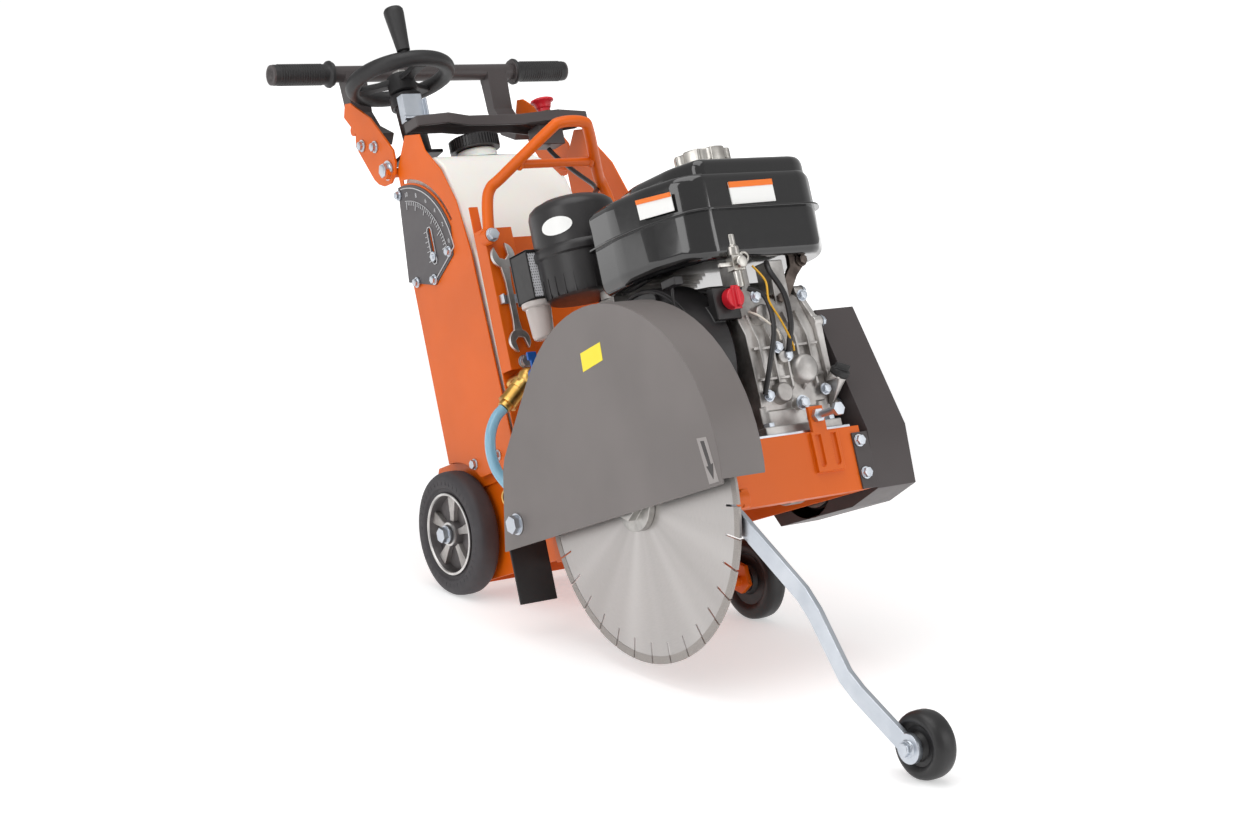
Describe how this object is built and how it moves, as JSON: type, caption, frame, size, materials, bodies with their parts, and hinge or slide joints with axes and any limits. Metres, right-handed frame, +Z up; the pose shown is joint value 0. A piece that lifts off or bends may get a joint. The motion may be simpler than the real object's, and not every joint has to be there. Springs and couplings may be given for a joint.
{
  "type": "walk-behind concrete saw",
  "caption": "Petrol walk-behind floor saw with a guarded diamond blade, screw depth control, water tank console and pointer wheel.",
  "frame": {"origin": "centre of the object's footprint, on the ground", "axes": "+Z up, -Y is the cutting direction, +X is the machine's left; the blade is on the -X side"},
  "size_m": [0.586, 1.5386, 0.9375],
  "materials": {
    "orange_paint": "satin powder coat",
    "guard_paint": "satin powder coat, warm grey",
    "dark_paint": "textured dark grey powder coat",
    "black_gloss": "gloss black paint",
    "black_plastic": "moulded black plastic",
    "zinc": "bright zinc plate",
    "cast_aluminium": "as-cast, shot-blasted",
    "tyre_rubber": "solid rubber",
    "flap_rubber": "matt rubber sheet",
    "blade_steel": "ground steel with sintered segments",
    "machined_steel": "turned steel",
    "brass": "turned brass",
    "tank_white": "translucent white moulding",
    "cup_clear": "milky clear moulding",
    "red_plastic": "red moulding",
    "blue_plastic": "blue moulding",
    "hose_blue": "light blue hose",
    "gauge_face": "printed dial",
    "chrome_steel": "polished tool steel",
    "exhaust_steel": "heat-resistant black",
    "nickel": "dull nickel plate"
  },
  "bodies": {
    "chassis": {"chassis_frame": "orange_paint", "engine_plate": "zinc", "console_panels": "orange_paint", "console_front": "orange_paint", "console_cover": "dark_paint", "water_tank": "tank_white", "blade_bearings": "cast_aluminium", "belt_guard": "dark_paint", "lifting_bail": "orange_paint", "frame_bolts": "zinc", "water_fittings": "brass", "water_hose": "hose_blue", "depth_gauge": "gauge_face", "spanner_clip": "zinc", "axle_pins": "zinc", "crankcase": "cast_aluminium", "crankcase_cover": "cast_aluminium", "fan_cover": "black_gloss", "rocker_cover": "cast_aluminium", "carburettor": "cast_aluminium", "air_cleaner": "black_plastic", "precleaner_cup": "cup_clear", "fuel_tank": "black_gloss", "muffler": "exhaust_steel", "cables": "black_plastic", "drive_belts": "flap_rubber", "spindle_housing": "black_plastic"},
    "water_cap": {"water_cap": "black_plastic"},
    "valve_lever": {"valve_lever": "blue_plastic"},
    "depth_indicator": {"depth_indicator": "zinc"},
    "spanner": {"spanner": "chrome_steel"},
    "recoil_grip": {"recoil_grip": "black_plastic"},
    "fuel_cap": {"fuel_cap": "nickel"},
    "oil_dipstick": {"oil_dipstick": "black_plastic"},
    "engine_switch": {"engine_switch": "red_plastic"},
    "spindle_latch": {"spindle_latch": "zinc"},
    "rear_wheel_left": {"rear_tyre_left": "tyre_rubber", "rear_hub_left": "cast_aluminium"},
    "rear_wheel_right": {"rear_tyre_right": "tyre_rubber", "rear_hub_right": "cast_aluminium"},
    "swing_arm": {"swing_arm": "orange_paint"},
    "front_wheel_left": {"front_wheel_left": "tyre_rubber"},
    "front_wheel_right": {"front_wheel_right": "tyre_rubber"},
    "depth_screw": {"handwheel": "black_plastic", "depth_spindle": "zinc"},
    "spinner_grip": {"spinner_grip": "black_plastic"},
    "spindle_nut": {"spindle_nut": "brass"},
    "blade_rotor": {"blade_shaft": "machined_steel", "shaft_pulley": "machined_steel", "blade_flanges": "machined_steel", "blade": "blade_steel"},
    "crank": {"crankshaft": "machined_steel", "crank_pulley": "machined_steel"},
    "blade_guard": {"blade_guard": "guard_paint", "splash_flap": "flap_rubber"},
    "pointer_arm": {"pointer_arm": "zinc"},
    "pointer_wheel": {"pointer_wheel": "tyre_rubber"},
    "handlebar": {"handlebar": "dark_paint", "tilt_plates": "orange_paint"},
    "stop_button": {"stop_button": "red_plastic"}
  },
  "joints": [
    {"name": "rear_wheel_left_spin", "type": "hinge", "parent": "chassis", "child": "rear_wheel_left", "pos_m": [0.178, 0.36359, 0.1], "axis": [1, 0, 0], "continuous": true},
    {"name": "rear_wheel_right_spin", "type": "hinge", "parent": "chassis", "child": "rear_wheel_right", "pos_m": [-0.178, 0.36359, 0.1], "axis": [1, 0, 0], "continuous": true},
    {"name": "depth_handwheel_turn", "type": "hinge", "parent": "chassis", "child": "depth_screw", "pos_m": [-0.12, 0.62011, 0.81647], "axis": [0, 0.4384, 0.8988], "range_deg": [0, 2520]},
    {"name": "spinner_grip_spin", "type": "hinge", "parent": "depth_screw", "child": "spinner_grip", "pos_m": [-0.14736, 0.55254, 0.84943], "axis": [0, 0.4384, 0.8988], "continuous": true},
    {"name": "front_axle_swing", "type": "hinge", "parent": "chassis", "child": "swing_arm", "pos_m": [0, 0.20212, 0.09492], "axis": [-1, 0, 0], "range_deg": [0, 34]},
    {"name": "depth_nut_travel", "type": "slide", "parent": "chassis", "child": "spindle_nut", "axis": [0, -0.4384, -0.8988], "range_m": [0, 0.042]},
    {"name": "depth_indicator_travel", "type": "slide", "parent": "chassis", "child": "depth_indicator", "axis": [0, 0.342, 0.9397], "range_m": [0, 0.042]},
    {"name": "front_wheel_left_spin", "type": "hinge", "parent": "swing_arm", "child": "front_wheel_left", "pos_m": [0.1115, -0.03318, 0.06244], "axis": [1, 0, 0], "continuous": true},
    {"name": "front_wheel_right_spin", "type": "hinge", "parent": "swing_arm", "child": "front_wheel_right", "pos_m": [-0.1115, -0.03318, 0.06244], "axis": [1, 0, 0], "continuous": true},
    {"name": "crank_spin", "type": "hinge", "parent": "chassis", "child": "crank", "pos_m": [0, -0.11868, 0.41813], "axis": [1, 0, 0], "continuous": true},
    {"name": "blade_spin", "type": "hinge", "parent": "chassis", "child": "blade_rotor", "pos_m": [-0.215, -0.18494, 0.2507], "axis": [1, 0, 0], "continuous": true},
    {"name": "blade_guard_lift", "type": "hinge", "parent": "chassis", "child": "blade_guard", "pos_m": [-0.2495, 0.07057, 0.17792], "axis": [-1, 0, 0], "range_deg": [0, 17]},
    {"name": "pointer_arm_swing", "type": "hinge", "parent": "chassis", "child": "pointer_arm", "pos_m": [-0.206, -0.35376, 0.27809], "axis": [-1, 0, 0], "range_deg": [-8, 46]},
    {"name": "pointer_wheel_spin", "type": "hinge", "parent": "pointer_arm", "child": "pointer_wheel", "pos_m": [-0.181, -0.72462, 0.04274], "axis": [1, 0, 0], "continuous": true},
    {"name": "handlebar_tilt", "type": "hinge", "parent": "chassis", "child": "handlebar", "pos_m": [-0.172, 0.56727, 0.66544], "axis": [-1, 0, 0], "range_deg": [0, 20]},
    {"name": "spindle_latch_flip", "type": "hinge", "parent": "chassis", "child": "spindle_latch", "pos_m": [-0.14, 0.5321, 0.75593], "axis": [1, 0, 0], "range_deg": [0, 70]},
    {"name": "stop_button_press", "type": "slide", "parent": "chassis", "child": "stop_button", "axis": [0, -0.342, -0.9397], "range_m": [0, 0.004], "stiffness_N_per_m": 1500, "springref_m": -0.002},
    {"name": "valve_lever_turn", "type": "hinge", "parent": "chassis", "child": "valve_lever", "pos_m": [-0.15, 0.17538, 0.37815], "axis": [0, -0.9397, 0.342], "range_deg": [0, 90]},
    {"name": "engine_switch_turn", "type": "hinge", "parent": "chassis", "child": "engine_switch", "pos_m": [-0.074, -0.21536, 0.52675], "axis": [0, -0.9397, 0.342], "range_deg": [0, 60]},
    {"name": "recoil_grip_pull", "type": "slide", "parent": "chassis", "child": "recoil_grip", "axis": [0, 0.1774, 0.9841], "range_m": [0, 0.3], "stiffness_N_per_m": 30, "springref_m": -0.1},
    {"name": "fuel_cap_turn", "type": "hinge", "parent": "chassis", "child": "fuel_cap", "pos_m": [-0.002, -0.0511, 0.70321], "axis": [0, 0.342, 0.9397], "range_deg": [0, 90]},
    {"name": "water_cap_turn", "type": "hinge", "parent": "chassis", "child": "water_cap", "pos_m": [-0.049, 0.50423, 0.7086], "axis": [0, 0.342, 0.9397], "range_deg": [0, 720]},
    {"name": "oil_dipstick_turn", "type": "hinge", "parent": "chassis", "child": "oil_dipstick", "pos_m": [0.063, -0.27888, 0.41365], "axis": [0.2601, -0.3296, 0.9076], "range_deg": [0, 720]},
    {"name": "spanner_unclip", "type": "slide", "parent": "chassis", "child": "spanner", "axis": [0, -0.9397, 0.342], "range_m": [0, 0.04]}
  ],
  "couplings": [
    {"joint": "front_axle_swing", "follows": "depth_handwheel_turn", "ratio": 0.013492},
    {"joint": "depth_nut_travel", "follows": "depth_handwheel_turn", "m_per_rad": 0.00095493},
    {"joint": "depth_indicator_travel", "follows": "depth_handwheel_turn", "m_per_rad": 0.00095493},
    {"joint": "blade_spin", "follows": "crank_spin", "ratio": 0.77083}
  ]
}
